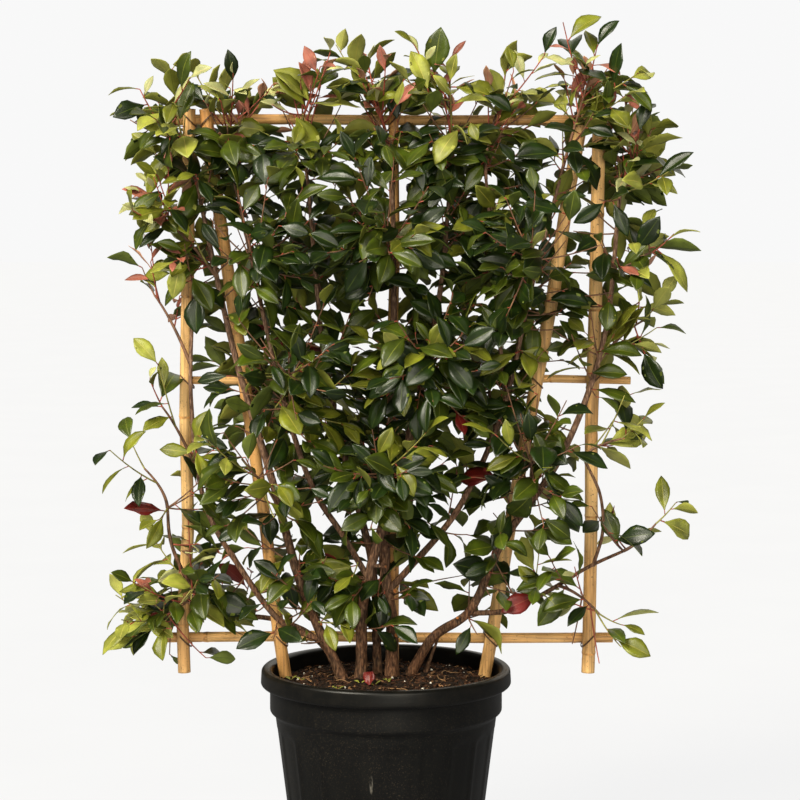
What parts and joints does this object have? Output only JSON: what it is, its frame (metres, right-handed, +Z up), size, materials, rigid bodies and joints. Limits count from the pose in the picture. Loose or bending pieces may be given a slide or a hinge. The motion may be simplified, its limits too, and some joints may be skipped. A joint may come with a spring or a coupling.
{
  "type": "potted espalier shrub",
  "caption": "Evergreen photinia shrub trained flat as an espalier on a lattice of bamboo canes, growing in a round black nursery pot that stands on its flat underside.",
  "frame": {"origin": "centre of the pot's flat underside", "axes": "+X to the right along the cane rails, +Y to the back, away from the viewer, +Z up"},
  "size_m": [0.7837, 0.3455, 1.1347],
  "materials": {
    "pot": "matt black, moulded",
    "soil": "loose bark compost",
    "cane": "smooth, dry bamboo",
    "bark": "rough, grey-brown bark",
    "leaf": "glossy evergreen leaves"
  },
  "bodies": {
    "root": {"branch_left_far": "bark", "branch_left_inner": "bark", "branch_left_low": "bark", "branch_left_rise": "bark", "branch_right_inner": "bark", "branch_right_low": "bark", "branch_right_top": "bark", "branch_right_twig": "bark", "cane_centre": "cane", "cane_left": "cane", "cane_right": "cane", "cane_slant_left": "cane", "cane_slant_right": "cane", "foliage_crest_1": "leaf", "foliage_crest_2": "leaf", "foliage_crest_3": "leaf", "foliage_crest_4": "leaf", "foliage_crest_5": "leaf", "foliage_crest_6": "leaf", "foliage_crest_7": "leaf", "foliage_crest_8": "leaf", "foliage_lower_1": "leaf", "foliage_lower_2": "leaf", "foliage_lower_3": "leaf", "foliage_lower_4": "leaf", "foliage_lower_5": "leaf", "foliage_lower_6": "leaf", "foliage_middle_1": "leaf", "foliage_middle_2": "leaf", "foliage_middle_3": "leaf", "foliage_middle_4": "leaf", "foliage_middle_5": "leaf", "foliage_middle_6": "leaf", "foliage_skirt_1": "leaf", "foliage_skirt_2": "leaf", "foliage_skirt_3": "leaf", "foliage_skirt_4": "leaf", "foliage_upper_1": "leaf", "foliage_upper_2": "leaf", "foliage_upper_3": "leaf", "foliage_upper_4": "leaf", "foliage_upper_5": "leaf", "foliage_upper_6": "leaf", "foliage_upper_7": "leaf", "pot": "pot", "rail_bottom": "cane", "rail_middle": "cane", "rail_top": "cane", "soil": "soil", "stem_front": "bark", "stem_left": "bark", "stem_main": "bark", "stem_right": "bark", "stem_slim": "bark", "stub_dead": "bark"}
  },
  "joints": []
}
